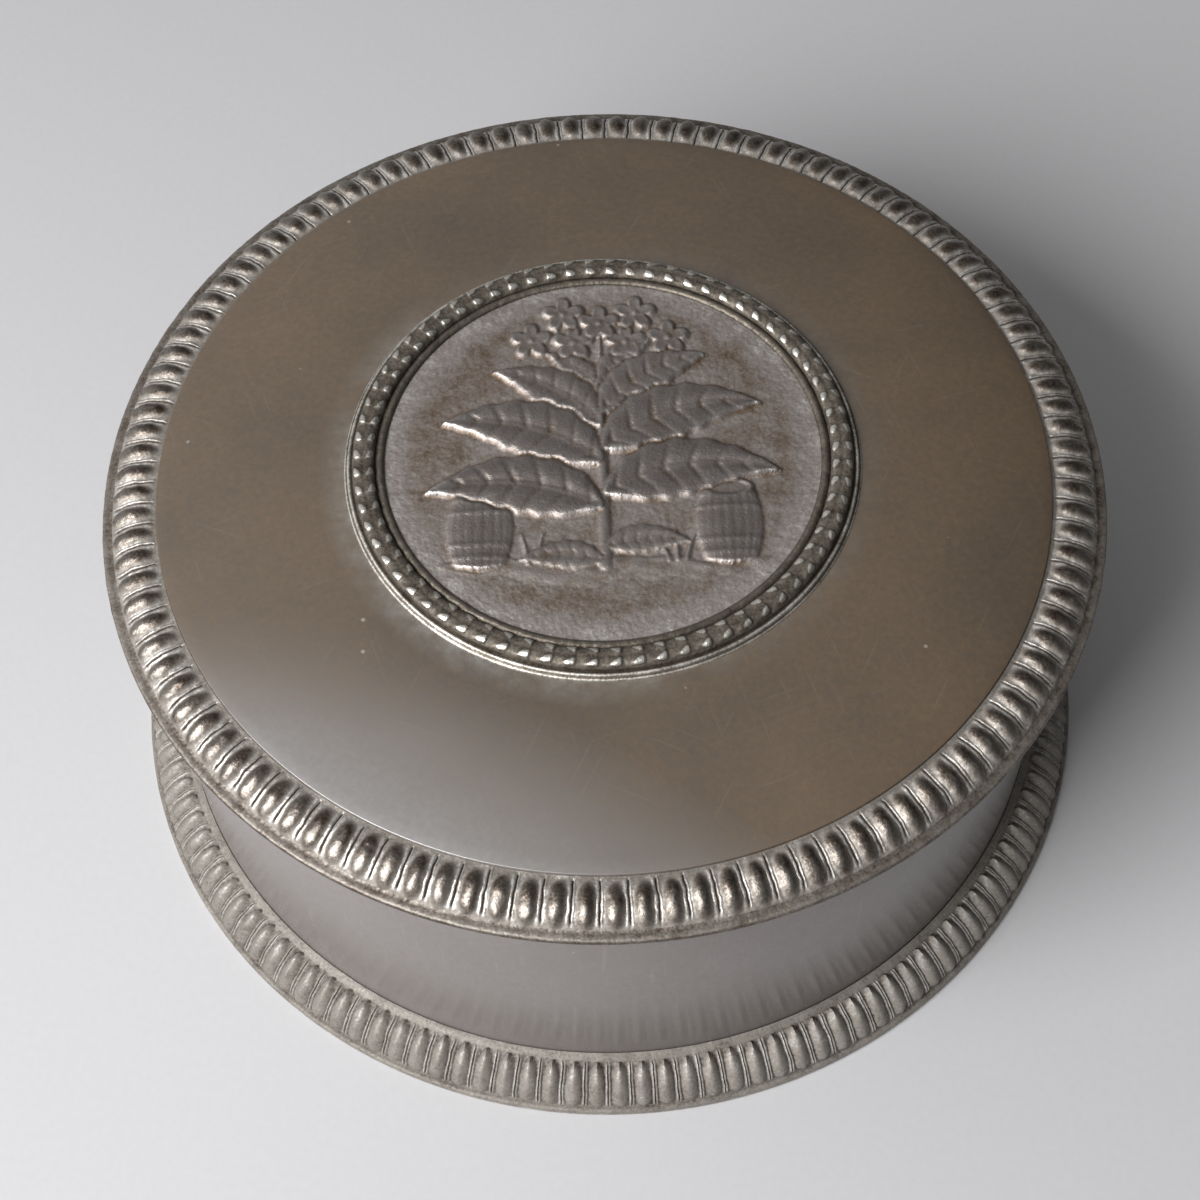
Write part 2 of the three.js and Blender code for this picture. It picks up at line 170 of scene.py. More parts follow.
def cast_skin(piece, depth, grain, exposed, smoother=None):
    """Moves the exposed points of a casting about, as in a hand-cut mould, less on its smoother parts."""
    group = piece.vertex_groups.new(name="exposed")
    group.add(np.flatnonzero(exposed).tolist(), 1, "REPLACE")
    if smoother is not None:
        group.add(np.flatnonzero(exposed & smoother).tolist(), CALMER, "REPLACE")
    clouds = bpy.data.textures.new(piece.name + "_skin", "CLOUDS")
    clouds.cloud_type = "COLOR"
    clouds.noise_scale = grain
    clouds.noise_depth = 3
    uneven = piece.modifiers.new("skin", "DISPLACE")
    uneven.texture = clouds
    uneven.texture_coords = "LOCAL"
    uneven.direction = "RGB_TO_XYZ"
    uneven.strength = depth
    uneven.vertex_group = group.name
    bpy.context.view_layer.objects.active = piece
    bpy.ops.object.modifier_apply(modifier=uneven.name)


def mirrored(stations):
    """Stations of a pattern that is the same on both sides of its middle."""
    return tuple(stations) + tuple(1 - share for share in reversed(stations[:-1]))


def ring_rows(before, arched, normals, places, after):
    """Rows round a ring's section: plain ones of radius, height and tone before and after the arch."""
    rows = [(radius, height, 0, 0, 0, tone) for radius, height, tone in before]
    for (radius, height), (across, up), place in zip(arched, normals, places):
        rows.append((radius, height, across, up, place, -1))
    rows += [(radius, height, 0, 0, 1, tone) for radius, height, tone in after]
    return np.array(rows)


def bump_at(value, centre, width):
    """A smooth bump of height 1."""
    return np.exp(-(((value - centre) / width) ** 2))


def ease(value, low, high):
    """A smooth step from 0 to 1 between two values."""
    share = np.clip((value - low) / (high - low), 0, 1)
    return share * share * (3 - 2 * share)


def foot_pattern(share, place):
    """Blunt tongues, rounded towards the drum, with two fine ridges and a groove between them. A
    pattern takes each point's share of the repeat and place up the moulding, and gives rise and tone."""
    side = np.abs(share - 0.5)
    tip = np.clip((place - 0.55) / 0.42, 0, 0.99)
    half = TONGUE_HALF * np.sqrt(1 - tip**2.2)
    inside = np.clip(1 - (side / half) ** 1.5 - np.clip((0.5 - place) / 0.475, 0, 1) ** 8, 0, 1)
    tongue = inside**0.75 * (0.72 + 0.28 * ease(place, 0.1, 0.75))
    fade = ease(place, 0.02, 0.08) * ease(1 - place, 0, 0.06)
    ridge = bump_at(side, 0.44, 0.045) * fade
    groove = bump_at(side, 0.5, 0.02) * fade
    # Painted shade: a dark line round each tongue's outline, where it meets the ground between the ridges.
    trough_shade = bump_at(inside, 0, 0.1) * ease(0.4 - side, 0, 0.04) * fade
    # The upper ends of the tongues are painted lighter: a painted highlight on their upward-facing tops.
    tone = 0.48 + 0.2 * tongue * ease(place, 0.4, 0.8) + 0.35 * ridge - 0.3 * groove - 0.3 * trough_shade
    return FOOT_RELIEF * (tongue + 0.3 * ridge - 0.2 * groove), tone


_, foot_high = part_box("foot_rim")
drum_low, drum_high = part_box("drum_wall")
floor_low, floor_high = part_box("floor_plate")
foot_radius = foot_high.x - SKIN_ROOM
foot_bore = floor_high.x - FOOT_LEDGE
foot_socket = drum_high.x + FOOT_SOLDER
foot_lip = (foot_radius - FOOT_LIP, FOOT_EDGE)
foot_band = (drum_high.x + FOOT_BAND, foot_high.z - FOOT_BAND_DROP)
arched, arch_normals = arch_rows(foot_lip, foot_band, FOOT_BULGE, TONGUE_PLACES)
foot_before = [
    (foot_bore, 0, 0.3),
    (foot_radius - 0.3 * MM, 0, 0.3),
    (foot_radius - 0.06 * MM, 0.1 * MM, 0.75),
    (foot_radius, 0.35 * MM, 0.85),
    (foot_radius - 0.02 * MM, 0.6 * MM, 0.5),
    (foot_radius - 0.1 * MM, FOOT_EDGE - 0.2 * MM, 0.45),
    (foot_radius - 0.3 * MM, FOOT_EDGE - 0.04 * MM, 0.4),
    (foot_radius - 0.55 * MM, FOOT_EDGE - 0.01 * MM, 0.36),
    (*foot_lip, 0.32),
]
foot_after = [
    (*foot_band, 0.3),
    (foot_band[0] - 0.12 * MM, foot_band[1] + 0.14 * MM, 0.46),
    (foot_socket + 0.3 * MM, foot_high.z - 0.12 * MM, 0.44),
    (foot_socket + 0.06 * MM, foot_high.z - 0.08 * MM, 0.55),
    (foot_socket, foot_high.z - 0.2 * MM, 0.1),
    (foot_socket, drum_low.z, 0.1),
    (foot_bore, drum_low.z, 0.1),
]
foot_rows = ring_rows(foot_before, arched, arch_normals, TONGUE_PLACES, foot_after)
foot_stations = mirrored(HALF_STATIONS)
foot_rim = patterned_ring(
    "foot_rim_cast", foot_rows, FOOT_TONGUES, foot_stations, foot_pattern, FOOT_POLISH
)
foot_points = read_points(foot_rim)
foot_out = np.hypot(foot_points[:, 0], foot_points[:, 1]) > foot_socket + 0.2 * MM
foot_plain = foot_points[:, 2] < FOOT_EDGE + 0.1 * MM
foot_out &= foot_points[:, 2] > 0.3 * MM
cast_skin(foot_rim, FOOT_SKIN, FOOT_GRAIN, foot_out, foot_plain)


def set_inputs(made, inputs):
    """Links a node's inputs to sockets, or sets them to values."""
    for key, value in inputs.items():
        if isinstance(value, bpy.types.NodeSocket):
            made.id_data.links.new(value, made.inputs[key])
        else:
            made.inputs[key].default_value = value


def node(tree, kind, inputs=None, **options):
    """Adds a node with its options and its inputs."""
    made = tree.nodes.new("ShaderNode" + kind)
    for option, value in options.items():
        setattr(made, option, value)
    set_inputs(made, inputs or {})
    return made


def blend_colour(tree, share, first, second, kind="MIX"):
    made = node(tree, "Mix", {0: share, 6: first, 7: second}, data_type="RGBA", blend_type=kind)
    return made.outputs[2]


def calc(tree, operation, first, second=0.0, clamp=False):
    made = node(tree, "Math", {0: first, 1: second}, operation=operation, use_clamp=clamp)
    return made.outputs[0]


def spread(tree, value, low, high, to_low=0.0, to_high=1.0):
    """A value stretched from one range to another and held inside it."""
    inputs = {"Value": value, "From Min": low, "From Max": high, "To Min": to_low, "To Max": to_high}
    return node(tree, "MapRange", inputs, clamp=True).outputs[0]


def noise(tree, vector, scale, detail=2.0, roughness=0.5):
    inputs = {"Vector": vector, "Scale": scale, "Detail": detail, "Roughness": roughness}
    return node(tree, "TexNoise", inputs).outputs["Fac"]


def new_group(name, inputs, outputs):
    """An empty shader node group with named sockets."""
    tree = bpy.data.node_groups.new(name, "ShaderNodeTree")
    for socket, kind in inputs.items():
        tree.interface.new_socket(socket, in_out="INPUT", socket_type="NodeSocket" + kind)
    for socket, kind in outputs.items():
        tree.interface.new_socket(socket, in_out="OUTPUT", socket_type="NodeSocket" + kind)
    return tree, tree.nodes.new("NodeGroupInput").outputs, tree.nodes.new("NodeGroupOutput").inputs


CAST_BLOTCHES = 330  # noise cells in a metre
CAST_GRAIN = 2400


def worn_casting():
    """Cast pewter: dull oxide with brown recesses, rubbed to bare metal on the crests, pitted; its tone
    also carries painted shade and painted highlights in places.
    """
    inputs = {"Place": "Vector", "Tone": "Float", "Rubbed": "Float", "Oxide": "Float", "Speckle": "Float"}
    inputs.update({"Recess": "Color", "Body": "Color", "Worn": "Color"})
    outputs = {"Colour": "Color", "Roughness": "Float", "Metallic": "Float", "Height": "Float"}
    tree, given, result = new_group("worn_casting", inputs, outputs)
    blotch = noise(tree, given["Place"], CAST_BLOTCHES, 4, 0.6)
    grain = noise(tree, given["Place"], CAST_GRAIN, 4, 0.65)
    level = calc(tree, "ADD", given["Tone"], spread(tree, blotch, 0.3, 0.7, -0.16, 0.16))
    speckle = calc(tree, "MULTIPLY", spread(tree, grain, 0.3, 0.7, -1, 1), given["Speckle"])
    level = calc(tree, "ADD", level, speckle)
    body = blend_colour(tree, spread(tree, level, 0, 0.5), given["Recess"], given["Body"])
    colour = blend_colour(tree, spread(tree, level, 0.6, 1.05), body, given["Worn"])
    smooth = calc(tree, "ADD", given["Rubbed"], spread(tree, grain, 0.3, 0.7, -0.15, 0.15))
    dull = calc(tree, "MULTIPLY", given["Oxide"], spread(tree, smooth, 0.1, 0.9, 1, 0.1))
    tree.links.new(colour, result["Colour"])
    tree.links.new(spread(tree, smooth, 0.1, 0.9, 0.6, 0.36), result["Roughness"])
    tree.links.new(calc(tree, "SUBTRACT", 1.0, dull), result["Metallic"])
    tree.links.new(calc(tree, "ADD", grain, calc(tree, "MULTIPLY", blotch, 0.6)), result["Height"])
    return tree


WORN_CASTING = worn_casting()


def new_material(name):
    """A material with its shader, and the tree and Object coordinates to build on."""
    made = bpy.data.materials.new(name)
    made.use_nodes = True
    tree = made.node_tree
    shader = tree.nodes["Principled BSDF"]
    shader.inputs["Metallic"].default_value = 1
    return made, tree, shader, node(tree, "TexCoord").outputs["Object"]


def cast_pewter(name, recess, body, worn, oxide, depth, speckle=0.24):
    """The finish of a casting, from its recess, body and worn colours, its oxide and its grain."""
    made, tree, shader, place = new_material(name)
    wear_and_shade = {}
    for key in ("tone", "rubbed"):
        wear_and_shade[key] = node(tree, "Attribute", attribute_name=key).outputs["Fac"]
    casting = node(tree, "Group", node_tree=WORN_CASTING)
    inputs = {"Place": place, "Tone": wear_and_shade["tone"], "Rubbed": wear_and_shade["rubbed"], "Oxide": oxide}
    inputs.update({"Speckle": speckle, "Recess": recess, "Body": body, "Worn": worn})
    set_inputs(casting, inputs)
    grain = node(tree, "Bump", {"Height": casting.outputs["Height"], "Strength": 0.75, "Distance": depth})
    tree.links.new(casting.outputs["Colour"], shader.inputs["Base Color"])
    tree.links.new(casting.outputs["Roughness"], shader.inputs["Roughness"])
    tree.links.new(casting.outputs["Metallic"], shader.inputs["Metallic"])
    tree.links.new(grain.outputs["Normal"], shader.inputs["Normal"])
    return made


def fit_piece(piece, material, body, slot, *nodes):
    """Finishes a piece: its material, the solids it stands for and its body; its record slot is not used.
    """
    piece.data.materials.clear()
    piece.data.materials.append(material)
    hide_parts(*nodes)
    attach(piece, body)


foot_finish = cast_pewter("foot_pewter", FOOT_RECESS, FOOT_BODY, FOOT_CREST, FOOT_OXIDE, FOOT_PITS)
fit_piece(foot_rim, foot_finish, "base", "cast_rim", "foot_rim")

# Drum wall: a plain band of rolled sheet pewter standing in the foot's ledge, with a satin grey-brown
# skin. Its mouth is dressed round where the lid seats.
WALL = 1.5 * MM
MOUTH_ROUND = 0.35 * MM
TURN_STEPS = 256
DRUM_FIRST = (0.208, 0.188, 0.179, 1)
DRUM_SECOND = (0.176, 0.156, 0.147, 1)
DRUM_DRIFT = 45  # clouds of patina in a metre
DRUM_SCRATCHES = 0.15  # how far its scratches show, from 0 to 1
DRUM_METAL = 0.06  # share of bare metal in its skin
DRUM_GLOSS = 0.65  # its roughness against the other sheets'
DRUM_BRUSHED = 0.7
BRUSHED_TURN = 0.25  # turns by which the brushing is rotated
SHEET_GRAIN = 0.02 * MM  # depth of the sheet's fine grain
SHEET_SPECKS = 1100  # noise cells in a metre
SCRATCH_RUNS = ((0.35, 0.0), (1.1, 3.7), (1.9, 8.1), (2.7, 5.3))  # heading in radians, offset
SCRATCH_LENGTH = 14 * MM
SCRATCH_WIDTH = 0.5 * MM
SCRATCH_BRIGHT = (0.66, 0.6, 0.53, 1)
FLECKS = ((190, 0.75, 0.05, 0.2), (48, 0.8, 0.024, 0.4))  # cells in a metre, share bare, size, strength
FLECK_PALE = (0.72, 0.69, 0.64, 1)


def rounded(corner, before, after, radius, steps=3):
    """Points of a corner rounded off between its neighbours."""
    corner, before, after = Vector(corner), Vector(before), Vector(after)
    start = corner + (before - corner).normalized() * radius
    end = corner + (after - corner).normalized() * radius
    shares = [step / steps for step in range(steps + 1)]
    return [tuple((1 - s) ** 2 * start + 2 * s * (1 - s) * corner + s * s * end) for s in shares]


def round_profile(points, radius, closed=True):
    """A profile with its corners rounded off, apart from the ends of an open one."""
    count = len(points)
    made = []
    for index, corner in enumerate(points):
        if not closed and index in (0, count - 1):
            made.append(tuple(corner))
            continue
        made += rounded(corner, points[index - 1], points[(index + 1) % count], radius)
    return made


def turned(name, points, smooth_angle=40, closed=True, steps=TURN_STEPS):
    """A piece turned round the box's axis from a profile of radius and height."""
    piece = chain(name, points + points[:1] if closed else points)
    spin(steps, FULL_TURN)
    return close_mesh(piece, smooth_angle)


def sheet_patina():
    """Old sheet pewter: patina that drifts between two colours, hairline scratches, nicks and dust."""
    inputs = {"Place": "Vector", "First": "Color", "Second": "Color"}
    inputs.update({"Drift": "Float", "Scratches": "Float"})
    outputs = {"Colour": "Color", "Roughness": "Float", "Height": "Float"}
    tree, given, result = new_group("sheet_patina", inputs, outputs)
    place = given["Place"]
    broad = noise(tree, place, given["Drift"], 5, 0.55)
    fine = noise(tree, place, SHEET_SPECKS, 4, 0.7)
    mixed = spread(tree, broad, 0.32, 0.68, 0.2, 0.8)
    mixed = calc(tree, "ADD", mixed, spread(tree, fine, 0.3, 0.7, -0.34, 0.34))
    colour = blend_colour(tree, mixed, given["First"], given["Second"])
    scratch = None
    for turn, offset in SCRATCH_RUNS:
        inputs = {"Vector": place, "Location": (offset, offset, 0), "Rotation": (0, 0, turn)}
        inputs["Scale"] = (SCRATCH_LENGTH, SCRATCH_WIDTH, SCRATCH_LENGTH)
        stretched = node(tree, "Mapping", inputs, vector_type="TEXTURE").outputs[0]
        hair = spread(tree, noise(tree, stretched, 1.0, 1.0), 0.7, 0.78)
        scratch = hair if scratch is None else calc(tree, "MAXIMUM", scratch, hair)
    scratch = calc(tree, "MULTIPLY", scratch, given["Scratches"])
    colour = blend_colour(tree, calc(tree, "MULTIPLY", scratch, 0.3), colour, SCRATCH_BRIGHT)
    height = calc(tree, "SUBTRACT", fine, calc(tree, "MULTIPLY", scratch, 0.8))
    rough = spread(tree, fine, 0.3, 0.7, 0.33, 0.43)
    for scale, bare, size, strength in FLECKS:
        flecks = node(tree, "TexVoronoi", {"Vector": place, "Scale": scale, "Randomness": 1})
        draw = node(tree, "SeparateColor", {0: flecks.outputs["Color"]}).outputs[0]
        jagged = spread(tree, fine, 0.3, 0.7, -0.4 * size, 0.4 * size)
        ragged = calc(tree, "ADD", flecks.outputs["Distance"], jagged)
        chosen = calc(tree, "GREATER_THAN", draw, bare)
        mark = calc(tree, "MULTIPLY", spread(tree, ragged, 1.3 * size, 0.7 * size), chosen)
        colour = blend_colour(tree, calc(tree, "MULTIPLY", mark, strength), colour, FLECK_PALE)
        rough = calc(tree, "ADD", rough, calc(tree, "MULTIPLY", mark, 0.2))
        height = calc(tree, "SUBTRACT", height, calc(tree, "MULTIPLY", mark, 2.0))
    tree.links.new(colour, result["Colour"])
    tree.links.new(rough, result["Roughness"])
    tree.links.new(height, result["Height"])
    return tree


SHEET_PATINA = sheet_patina()


def sheet_pewter(name, first, second, drift, depth, scratches=1.0):
    """The finish of a sheet piece, with its shader and its patina group to build on."""
    made, tree, shader, place = new_material(name)
    patina = node(tree, "Group", node_tree=SHEET_PATINA)
    inputs = {"Place": place, "First": first, "Second": second, "Drift": drift, "Scratches": scratches}
    set_inputs(patina, inputs)
    skin = node(tree, "Bump", {"Height": patina.outputs["Height"], "Strength": 0.3, "Distance": depth})
    tree.links.new(patina.outputs["Colour"], shader.inputs["Base Color"])
    tree.links.new(patina.outputs["Roughness"], shader.inputs["Roughness"])
    tree.links.new(skin.outputs["Normal"], shader.inputs["Normal"])
    return made, tree, shader, place, patina


drum_radius = drum_high.x
drum_bore = drum_radius - WALL
drum_corners = [
    (drum_bore, drum_low.z),
    (drum_radius, drum_low.z),
    (drum_radius, drum_high.z),
    (drum_bore, drum_high.z),
]
drum = turned("drum_wall_sheet", round_profile(drum_corners, MOUTH_ROUND))
drum_finish, tree, shader, _, patina = sheet_pewter(
    "drum_pewter", DRUM_FIRST, DRUM_SECOND, DRUM_DRIFT, SHEET_GRAIN, DRUM_SCRATCHES
)
shader.inputs["Metallic"].default_value = DRUM_METAL
glossier = calc(tree, "MULTIPLY", patina.outputs["Roughness"], DRUM_GLOSS)
tree.links.new(glossier, shader.inputs["Roughness"])
shader.inputs["Anisotropic"].default_value = DRUM_BRUSHED
shader.inputs["Anisotropic Rotation"].default_value = BRUSHED_TURN
fit_piece(drum, drum_finish, "base", "drum", "drum_wall")

# Floor plate: a disc of sheet pewter let into the drum and resting on the foot's ledge, turned
# bright, with brown stains from tobacco on top.
INNER_FIRST = (0.46, 0.44, 0.405, 1)
INNER_SECOND = (0.33, 0.285, 0.235, 1)
INNER_DRIFT = 38
FLOOR_ROUND = 0.2 * MM
LATHE_RINGS = 420  # in a metre
floor_radius = floor_high.x
floor_corners = [
    (0, floor_low.z),
    (floor_radius, floor_low.z),
    (floor_radius, floor_high.z),
    (0, floor_high.z),
]
floor_profile = round_profile(floor_corners, FLOOR_ROUND, closed=False)
floor_plate = turned("floor_plate_sheet", floor_profile, closed=False)


def turned_pewter(name, first, second, drift):
    """Lathe-turned pewter: the sheet's patina with fine rings round the axis."""
    made, tree, shader, place, patina = sheet_pewter(name, first, second, drift, SHEET_GRAIN)
    rings_inputs = {"Vector": place, "Scale": LATHE_RINGS, "Distortion": 0.6, "Detail": 3}
    rings = node(tree, "TexWave", rings_inputs, wave_type="RINGS", rings_direction="Z").outputs["Fac"]
    height = calc(tree, "ADD", patina.outputs["Height"], calc(tree, "MULTIPLY", rings, 0.9))
    skin = node(tree, "Bump", {"Height": height, "Strength": 0.4, "Distance": SHEET_GRAIN})
    tree.links.new(skin.outputs["Normal"], shader.inputs["Normal"])
    return made


inner_finish = turned_pewter("inner_pewter", INNER_FIRST, INNER_SECOND, INNER_DRIFT)
fit_piece(floor_plate, inner_finish, "base", "inside", "floor_plate")

# Press plate: a loose turned disc that lies on the tobacco, with a half-round bead round its edge
# and a boss where the knob is riveted through.
PRESS_SHEET = 1.6 * MM
BEAD = 1.5 * MM
BOSS_RADIUS = 9 * MM
BOSS_HEIGHT = 1 * MM
BOSS_FOOT_ROUND = 0.6 * MM
BOSS_EDGE_ROUND = 0.5 * MM
PRESS_EDGE = 0.3 * MM  # bevel below the bead
BEAD_STEPS = 12
RIVET = 2.35 * MM
RIVET_HEAD = 3.55 * MM
RIVET_HEAD_TOP = 0.7 * MM
PRESS_FIRST = (0.43, 0.41, 0.38, 1)
PRESS_SECOND = (0.3, 0.255, 0.205, 1)
PRESS_DRIFT = 60
press_low, press_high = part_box("press_plate")
press_radius = press_high.x
press_top = press_low.z + PRESS_SHEET
boss_top = press_top + BOSS_HEIGHT
bead = []
for step in range(BEAD_STEPS + 1):
    angle = math.pi * step / BEAD_STEPS
    bead.append((press_radius - BEAD * (1 - math.cos(angle)), press_top + BEAD * math.sin(angle)))
boss = [(BOSS_RADIUS, press_top), (BOSS_RADIUS - BOSS_HEIGHT, boss_top), (RIVET, boss_top)]
boss_foot = rounded(boss[0], bead[-1], boss[1], BOSS_FOOT_ROUND)
boss_edge = rounded(boss[1], boss[0], boss[2], BOSS_EDGE_ROUND)
press_profile = [(RIVET_HEAD, press_low.z), (press_radius - PRESS_EDGE, press_low.z)]
press_profile += [(press_radius, press_low.z + PRESS_EDGE)] + bead + boss_foot + boss_edge
press_profile += [(RIVET, boss_top), (RIVET, press_low.z + RIVET_HEAD_TOP)]
press_profile += [(RIVET_HEAD, press_low.z + RIVET_HEAD_TOP)]
press_plate = turned("press_plate_turned", press_profile)
press_finish = turned_pewter("press_pewter", PRESS_FIRST, PRESS_SECOND, PRESS_DRIFT)
fit_piece(press_plate, press_finish, "press", "press", "press_plate")

# Press knob: turned from solid pewter, with a spread foot, a waisted neck and an oval crown. Its
# rivet passes through the plate and is headed over in a recess underneath.
KNOB_NECK = 2.8 * MM
KNOB_FOOT = 4.8 * MM
KNOB_FOOT_EDGE = 0.7 * MM
KNOB_RIVET = 2.2 * MM
KNOB_HEAD = 3.4 * MM  # rivet's head underneath
KNOB_HEAD_HEIGHT = 0.6 * MM
KNOB_STEPS = 96
CROWN_STEPS = 20
CROWN_START = -math.pi / 3  # the crown springs from the neck at this angle
knob_low, knob_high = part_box("press_knob")
knob_radius = knob_high.x
knob_height = knob_high.z - boss_top
crown_half = knob_height / 3
crown_middle = knob_high.z - crown_half
crown = []
for step in range(CROWN_STEPS):
    angle = CROWN_START + (math.pi / 2 - CROWN_START) * step / CROWN_STEPS
    crown.append((knob_radius * math.cos(angle), crown_middle + crown_half * math.sin(angle)))
neck_height = (boss_top + crown[0][1]) / 2
head_top = knob_low.z + KNOB_HEAD_HEIGHT
foot_edge = boss_top + KNOB_FOOT_EDGE
knob_profile = [
    (0, knob_low.z),
    (KNOB_HEAD - 0.2 * MM, knob_low.z),
    (KNOB_HEAD, knob_low.z + 0.2 * MM),
    (KNOB_HEAD, head_top),
    (KNOB_RIVET, head_top),
    (KNOB_RIVET, boss_top),
    (KNOB_FOOT, boss_top),
    (KNOB_FOOT, foot_edge),
    (KNOB_FOOT - 0.4 * MM, foot_edge + 0.4 * MM),
    (KNOB_NECK + 0.35 * MM, neck_height - 0.5 * MM),
    (KNOB_NECK, neck_height + 0.3 * MM),
    *crown,
    (0, knob_high.z),
]
press_knob = turned("press_knob_turned", knob_profile, closed=False, steps=KNOB_STEPS)
fit_piece(press_knob, press_finish, "press", "press", "press_knob")

# Lid collar: a plain turned ring soldered under the lid's rim. It drops into the drum's mouth and
# keeps the lid central.
COLLAR_WALL = 1.2 * MM
COLLAR_ROUND = 0.3 * MM
collar_low, collar_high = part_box("lid_collar")
collar_radius = collar_high.x
collar_corners = [
    (collar_radius - COLLAR_WALL, collar_low.z),
    (collar_radius, collar_low.z),
    (collar_radius, collar_high.z),
    (collar_radius - COLLAR_WALL, collar_high.z),
]
collar = turned("lid_collar_turned", round_profile(collar_corners, COLLAR_ROUND))
fit_piece(collar, inner_finish, "lid", "inside", "lid_collar")

# Lid rim: a cast pewter ring soldered round the lid plate. It carries a row of egg-shaped tongues on
# bright lands, each land split by a fine crack, and ends in a plain margin with a rough, dark edge.
RIM_TONGUES = 114
RIM_EDGE = 1.1 * MM
RIM_LIP = 1.4 * MM
RIM_HEIGHT = 3.1 * MM
RIM_BULGE = 0.8 * MM
RIM_BORE_STEP = 1.5 * MM
RIM_BAND = 0.5 * MM  # plain band beside the lid plate
RIM_RELIEF = 0.7 * MM
EGG_HALF = 0.35  # half an egg's width, as a share of its repeat
RIM_SOLDER = 0.03 * MM
RIM_SKIN = 0.4 * MM
RIM_GRAIN = 1.5 * MM
EDGE_SKIN = 0.08 * MM  # the finer unevenness of the outer edge
EDGE_GRAIN = 0.8 * MM
RIM_OXIDE = 0.6
RIM_PITS = 0.1 * MM
RIM_RECESS = (0.075, 0.052, 0.038, 1)
RIM_BODY = (0.29, 0.262, 0.232, 1)
RIM_CREST = (0.7, 0.68, 0.65, 1)


def rim_pattern(share, place):
    """Round-ended eggs with a land between them, cracked along its middle."""
    side = np.abs(share - 0.5)
    inside = np.clip(1 - (side / EGG_HALF) ** 2 - np.abs((place - 0.485) / 0.48) ** 3, 0, 1)
    egg = inside**0.72
    crack = bump_at(side, 0.5, 0.028) * ease(place, 0.05, 0.18)
    land = bump_at(side, 0.415, 0.075) * ease(place, 0.02, 0.1)
    # Each egg is painted lighter low on its crest: partly rubbed bare metal, partly a painted highlight.
    worn = bump_at(place, 0.3, 0.25) * egg**2
    tone = 0.52 - 0.38 * ease(inside, 0.12, 0.6) + 0.4 * worn - 1.1 * crack + 0.4 * land
    return RIM_RELIEF * (egg + 0.1 * land - 0.3 * crack), tone


rim_low, rim_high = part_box("lid_rim")
plate_low, plate_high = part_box("lid_plate")
rim_radius = rim_high.x - SKIN_ROOM
rim_foot = rim_low.z
rim_socket = plate_high.x + RIM_SOLDER
rim_bore = plate_high.x - RIM_BORE_STEP
rim_lip = (rim_radius - RIM_LIP, rim_foot + RIM_EDGE)
rim_top = (rim_socket + RIM_BAND, rim_foot + RIM_HEIGHT)
arched, arch_normals = arch_rows(rim_lip, rim_top, RIM_BULGE, TONGUE_PLACES)
rim_before = [
    (rim_bore, rim_foot, 0.2),
    (rim_radius - 0.35 * MM, rim_foot, 0.3),
    (rim_radius - 0.06 * MM, rim_foot + 0.06 * MM, 0.1),
    (rim_radius, rim_foot + 0.2 * MM, 0.02),
    (rim_radius - 0.02 * MM, rim_foot + 0.62 * MM, 0.05),
    (rim_radius - 0.08 * MM, rim_foot + 0.8 * MM, 0.3),
    (rim_radius - 0.25 * MM, rim_foot + 0.9 * MM, 0.4),
    (rim_radius - 0.5 * MM, rim_foot + 0.97 * MM, 0.32),
    (rim_radius - 0.9 * MM, rim_foot + 1.03 * MM, 0.25),
    (*rim_lip, 0.28),
]
rim_after = [
    (*rim_top, 0.55),
    (rim_socket + 0.15 * MM, rim_foot + RIM_HEIGHT + 0.14 * MM, 0.6),
    (rim_socket, rim_foot + RIM_HEIGHT + 0.12 * MM, 0.45),
    (rim_socket, plate_low.z, 0.1),
    (rim_bore, plate_low.z, 0.1),
]
rim_rows = ring_rows(rim_before, arched, arch_normals, TONGUE_PLACES, rim_after)
lid_rim = patterned_ring("lid_rim_cast", rim_rows, RIM_TONGUES, mirrored(HALF_STATIONS), rim_pattern)
rim_points = read_points(lid_rim)
rim_out = np.hypot(rim_points[:, 0], rim_points[:, 1]) > rim_socket + 0.2 * MM
rim_plain = rim_points[:, 2] < rim_foot + RIM_EDGE + 0.1 * MM
rim_out &= rim_points[:, 2] > rim_foot + 0.2 * MM
cast_skin(lid_rim, RIM_SKIN, RIM_GRAIN, rim_out, rim_plain)
rim_edge = np.hypot(rim_points[:, 0], rim_points[:, 1]) > rim_radius - 0.25 * MM
rim_edge &= rim_points[:, 2] > rim_foot + 0.5 * MM
cast_skin(lid_rim, EDGE_SKIN, EDGE_GRAIN, rim_edge)
rim_finish = cast_pewter("rim_pewter", RIM_RECESS, RIM_BODY, RIM_CREST, RIM_OXIDE, RIM_PITS)
fit_piece(lid_rim, rim_finish, "lid", "cast_rim", "lid_rim")

# Lid plate: a disc of sheet pewter raised to a low dome, soldered on the rim's ledge. It has a warm
# brown patina, greyer towards the front where rubbing and a painted sheen of the lamp lighten it, with
# hairline scratches and dust.
PLATE_SHEET = 1.2 * MM
PLATE_EDGE_ROUND = 0.1 * MM
SEAT_MARGIN = 0.8 * MM  # flat seat beyond the medallion
DOME_STEPS = 14
DOME_SWELL = 1.65  # how much steeper the dome rises at its edge than on average
LID_BROWN = (0.122, 0.073, 0.033, 1)
LID_DEEP = (0.05, 0.029, 0.011, 1)
LID_RUBBED_SHEEN = (0.18, 0.168, 0.162, 1)
LID_RESIDUE = (0.17, 0.162, 0.14, 1)
LID_DRIFT = 32
LID_GRAIN = 0.03 * MM
LID_SCRATCHES = 0.1
LID_SHEEN = 2.62  # index of refraction that gives the patina its neutral sheen
LID_CLOUDS = 60  # noise cells in a metre
LID_DUST = 500
TO_RUBBED_SHEEN = (-0.53, -0.85, 0)  # direction of the greyer patch, partly rubbed and partly a painted sheen
